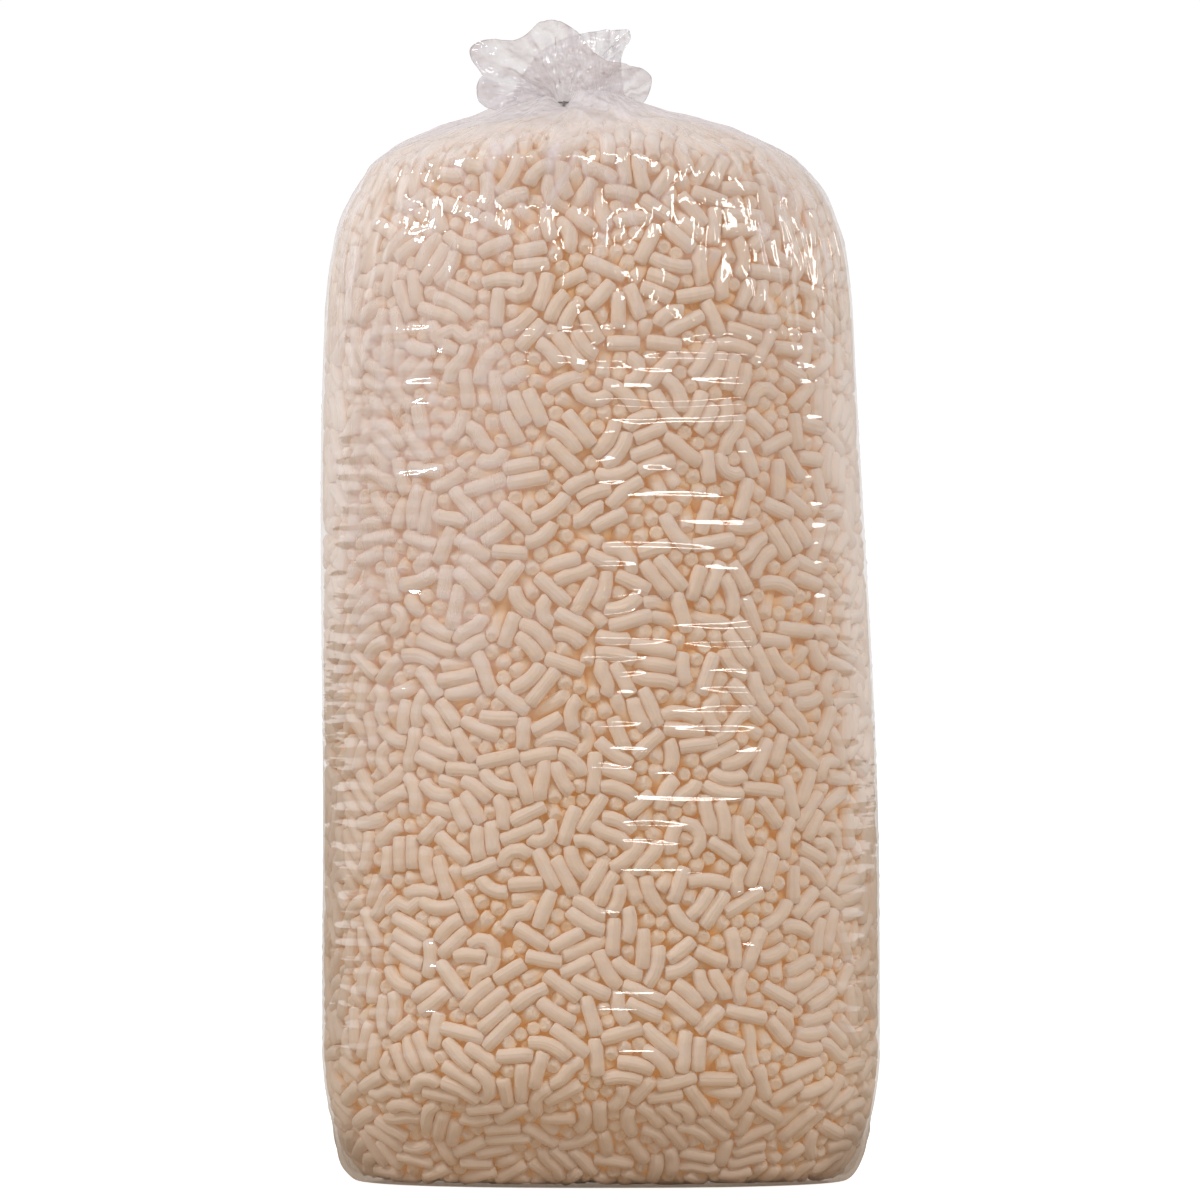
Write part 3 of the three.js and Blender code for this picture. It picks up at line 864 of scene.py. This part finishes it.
def film_material():
    """Clear polythene: seen through face on, milky at its folds, and glossy."""
    material, tree, front = new_material("clear_film")
    place = add_node(tree, "ShaderNodeTexCoord")
    gather = add_node(tree, "ShaderNodeAttribute", attribute_name="gather")
    foot = add_node(tree, "ShaderNodeAttribute", attribute_name="foot")
    pleat, normal = film_bumps(tree, place, gather)
    milk = film_milk(tree, front, gather, normal)
    # Painted shade: the clear film turns brown where it is marked at the foot and the ears.
    layers_and_shade = add_node(tree, "ShaderNodeMix",
                      {"Factor": foot.outputs["Fac"], "A": one_layer, "B": folded_layers_and_shade},
                      data_type="RGBA")
    clear = add_node(tree, "ShaderNodeBsdfTransparent", {"Color": layers_and_shade.outputs["Result"]})
    body = add_node(tree, "ShaderNodeMixShader",
                    {"Fac": film_haze(tree, pleat, gather, normal),
                     1: clear.outputs["BSDF"], 2: milk.outputs["Shader"]})

    # The shine on it.
    gloss = add_node(tree, "ShaderNodeBsdfGlossy", {"Roughness": 0.04, "Normal": normal})
    shine = add_node(tree, "ShaderNodeFresnel", {"IOR": 1.5, "Normal": normal})
    two_faces = add_node(tree, "ShaderNodeMapRange",
                         {"Value": shine.outputs["Fac"], "From Max": 0.12,
                          "To Min": 0.0, "To Max": 0.30})
    surface = add_node(tree, "ShaderNodeMixShader",
                       {"Fac": two_faces.outputs["Result"],
                        1: body.outputs["Shader"], 2: gloss.outputs["BSDF"]})

    # Light on its way to the peanuts passes straight through, with a little lost.
    lets_by = add_node(tree, "ShaderNodeMapRange",
                       {"Value": gather.outputs["Fac"], "To Min": 0.96, "To Max": 0.86})
    filtered = add_node(tree, "ShaderNodeBsdfTransparent", {"Color": lets_by.outputs["Result"]})
    rays = add_node(tree, "ShaderNodeLightPath")
    either = add_node(tree, "ShaderNodeMixShader",
                      {"Fac": rays.outputs["Is Camera Ray"],
                       1: filtered.outputs["BSDF"], 2: surface.outputs["Shader"]})
    set_inputs(tree, tree.nodes["Material Output"], {"Surface": either.outputs["Shader"]})
    return material


film = film_mesh()
film.data.materials.append(film_material())
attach(film, "root")
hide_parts("film_bag")


# ---- Wire tie -------------------------------------------------------------------------------------
# One thin iron wire in a grey plastic coat, bent once round the gathered neck, its two ends twisted
# together by hand. Its shape is the frame's own solid, and here it gets its finish.

coat_grey = (0.14, 0.13, 0.13, 1)
rubbed_grey = (0.30, 0.28, 0.27, 1)


def coated_wire():
    """Dull grey plastic, rubbed paler in places."""
    material, tree, coat = new_material("coated_wire")
    place = add_node(tree, "ShaderNodeTexCoord")
    rubbed = add_node(tree, "ShaderNodeTexNoise", {"Vector": place.outputs["Object"], "Scale": 400})
    shade = add_node(tree, "ShaderNodeMix",
                     {"Factor": rubbed.outputs["Fac"], "A": coat_grey, "B": rubbed_grey},
                     data_type="RGBA")
    set_inputs(tree, coat, {"Base Color": shade.outputs["Result"], "Roughness": 0.45})
    return material


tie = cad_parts["wire_tie"]
tie.data.materials.clear()
tie.data.materials.append(coated_wire())


# ---- Studio ---------------------------------------------------------------------------------------
# A white floor and sweep, one soft light high to the right, one to each side, and a pale room with
# a bright wall to the left that the film reflects.

floor_half = 30
floor_z = -0.001
room_white = (1, 0.985, 0.97, 1)
lamp_white = (1.0, 0.97, 0.93)


def floor_paint():
    """White where it is seen. It throws a dull warm light back on the bag."""
    material, tree, seen_floor = new_material("floor_white")
    set_inputs(tree, seen_floor, {
        "Base Color": (0.8, 0.8, 0.8, 1), "Roughness": 0.9, "Specular IOR Level": 0.0,
        "Emission Color": (1, 1, 1, 1), "Emission Strength": 0.75})
    dull = add_node(tree, "ShaderNodeBsdfDiffuse", {"Color": (0.60, 0.50, 0.38, 1)})
    rays = add_node(tree, "ShaderNodeLightPath")
    either = add_node(tree, "ShaderNodeMixShader",
                      {"Fac": rays.outputs["Is Camera Ray"],
                       1: dull.outputs["BSDF"], 2: seen_floor.outputs["BSDF"]})
    set_inputs(tree, tree.nodes["Material Output"], {"Surface": either.outputs["Shader"]})
    return material


def softbox(name, azimuth, elevation, distance, wide, tall, watts):
    """A flat light that faces the middle of the bag."""
    a, e = math.radians(azimuth), math.radians(elevation)
    light = bpy.data.lights.new(name, "AREA")
    light.shape = "RECTANGLE"
    light.size, light.size_y, light.energy = wide, tall, watts
    light.color = lamp_white
    lamp = bpy.data.objects.new(name, light)
    bpy.context.scene.collection.objects.link(lamp)
    way = Vector((math.sin(a) * math.cos(e), -math.cos(a) * math.cos(e), math.sin(e)))
    lamp.location = way * distance + Vector((0, 0, 0.6))
    lamp.rotation_euler = way.to_track_quat("Z", "Y").to_euler()


def room():
    """What lights the bag all round, what its film reflects, and the white behind it."""
    world = bpy.data.worlds.new("studio")
    world.use_nodes = True
    tree = world.node_tree
    place = add_node(tree, "ShaderNodeTexCoord")
    toward = add_node(tree, "ShaderNodeSeparateXYZ", {"Vector": place.outputs["Generated"]})
    sky = add_node(tree, "ShaderNodeMapRange",
                   {"Value": toward.outputs["Z"], "From Min": -0.5, "From Max": 0.7,
                    "To Min": 0.26, "To Max": 0.54})
    soft_light = tree.nodes["Background"]
    set_inputs(tree, soft_light, {"Color": room_white, "Strength": sky.outputs["Result"]})

    # Reflections: the sweep behind the bag, and the bright wall from its foot up to the left.
    sweep = add_node(tree, "ShaderNodeMapRange",
                     {"Value": toward.outputs["Y"], "From Min": -0.2, "From Max": 0.5,
                      "To Min": 0.28, "To Max": 0.95})
    to_left = add_node(tree, "ShaderNodeMapRange",
                       {"Value": toward.outputs["X"], "From Min": 0.1, "From Max": -0.7})
    above_floor = add_node(tree, "ShaderNodeMapRange",
                           {"Value": toward.outputs["Z"], "From Min": -0.06, "From Max": 0.12,
                            "To Max": 0.5})
    reflected = add_node(tree, "ShaderNodeMath",
                         {0: to_left.outputs["Result"], 1: above_floor.outputs["Result"],
                          2: sweep.outputs["Result"]}, operation="MULTIPLY_ADD")
    mirrored = add_node(tree, "ShaderNodeBackground",
                        {"Color": room_white, "Strength": reflected.outputs["Value"]})
    white = add_node(tree, "ShaderNodeBackground", {"Color": (1, 1, 1, 1), "Strength": 1.02})
    rays = add_node(tree, "ShaderNodeLightPath")
    lit = add_node(tree, "ShaderNodeMixShader",
                   {"Fac": rays.outputs["Is Glossy Ray"],
                    1: soft_light.outputs["Background"], 2: mirrored.outputs["Background"]})
    pick = add_node(tree, "ShaderNodeMixShader",
                    {"Fac": rays.outputs["Is Camera Ray"],
                     1: lit.outputs["Shader"], 2: white.outputs["Background"]})
    set_inputs(tree, tree.nodes["World Output"], {"Surface": pick.outputs["Shader"]})
    return world


corners = [(-floor_half, -floor_half, floor_z), (floor_half, -floor_half, floor_z),
           (floor_half, floor_half, floor_z), (-floor_half, floor_half, floor_z)]
floor = mesh_object("floor", corners, [(0, 1, 2, 3)])
floor.data.materials.append(floor_paint())
softbox("key_light", 24, 30, 4.5, 3.2, 0.42, 50)
softbox("left_light", -64, 32, 4.5, 1.1, 0.25, 50)
softbox("right_light", 96, 20, 4.5, 1.0, 0.6, 14)
bpy.context.scene.world = room()
bpy.context.scene.view_settings.view_transform = "Standard"

camera_distance, view_wide = 9.0, 1.2
camera = bpy.data.objects.new("camera", bpy.data.cameras.new("camera"))
bpy.context.scene.collection.objects.link(camera)
camera.location = (-0.001, -camera_distance, 0.58)
camera.rotation_euler = (math.pi / 2, 0, 0)
camera.data.sensor_width = 36
camera.data.lens = camera.data.sensor_width / view_wide * camera_distance
camera.data.clip_end = 100
bpy.context.scene.camera = camera
